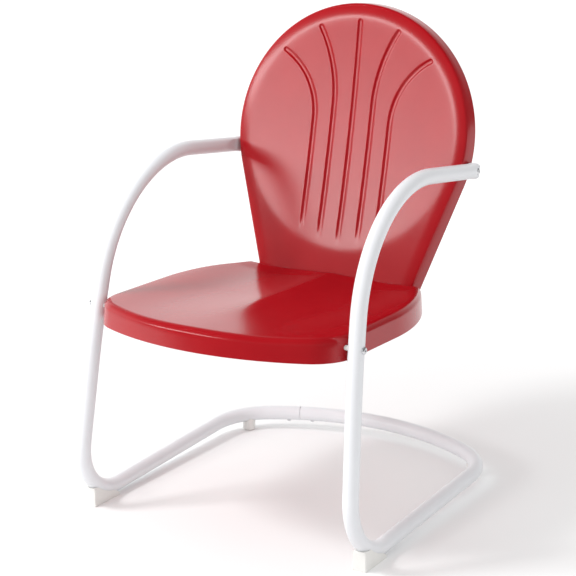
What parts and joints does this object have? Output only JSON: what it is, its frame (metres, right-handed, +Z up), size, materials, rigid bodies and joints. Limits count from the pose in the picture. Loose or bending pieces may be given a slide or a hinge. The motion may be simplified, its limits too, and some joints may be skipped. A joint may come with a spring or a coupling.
{
  "type": "spring lawn chair",
  "caption": "Spring lawn chair with a pressed round back and pressed seat on bent side tubes that flex at the foot bends and join in a rear floor bow.",
  "frame": {"origin": "middle of the footprint, on the floor", "axes": "+Z up, -Y the way the sitter faces, +X the sitter's left"},
  "size_m": [0.591, 0.6722, 0.8766],
  "materials": {
    "red_enamel": "satin gloss powder coat",
    "white_enamel": "satin powder coat",
    "white_plastic": "moulded, fine grain",
    "zinc_steel": "zinc plated",
    "spacer_plastic": "moulded"
  },
  "bodies": {
    "base": {"left_runner_tube": "white_enamel", "right_runner_tube": "white_enamel", "left_spring_bend": "white_enamel", "right_spring_bend": "white_enamel", "left_front_foot": "white_plastic", "right_front_foot": "white_plastic", "left_rear_glide": "white_plastic", "right_rear_glide": "white_plastic", "rear_coupling_sleeve": "zinc_steel", "coupling_screws": "zinc_steel", "foot_screws": "zinc_steel", "glide_screws": "zinc_steel"},
    "seat_unit": {"seat_pan": "red_enamel", "back_shell": "red_enamel", "left_arm_leg_tube": "white_enamel", "right_arm_leg_tube": "white_enamel", "left_seat_bolt": "zinc_steel", "right_seat_bolt": "zinc_steel", "seat_nuts": "zinc_steel", "seat_saddle_washers": "zinc_steel", "left_arm_bolt": "zinc_steel", "right_arm_bolt": "zinc_steel", "arm_nuts": "zinc_steel", "arm_saddle_washers": "zinc_steel", "back_bolts": "zinc_steel", "back_washers": "zinc_steel", "back_nuts": "zinc_steel", "seat_spacers": "spacer_plastic", "arm_spacers": "spacer_plastic"}
  },
  "joints": [
    {"name": "seat_spring", "type": "hinge", "parent": "base", "child": "seat_unit", "pos_m": [0, -0.2516, 0.05], "axis": [-1, 0, 0], "range_deg": [-1.5, 4], "stiffness_Nm_per_rad": 3600, "springref_deg": -0.3, "deforming": ["left_spring_bend", "right_spring_bend"]}
  ]
}
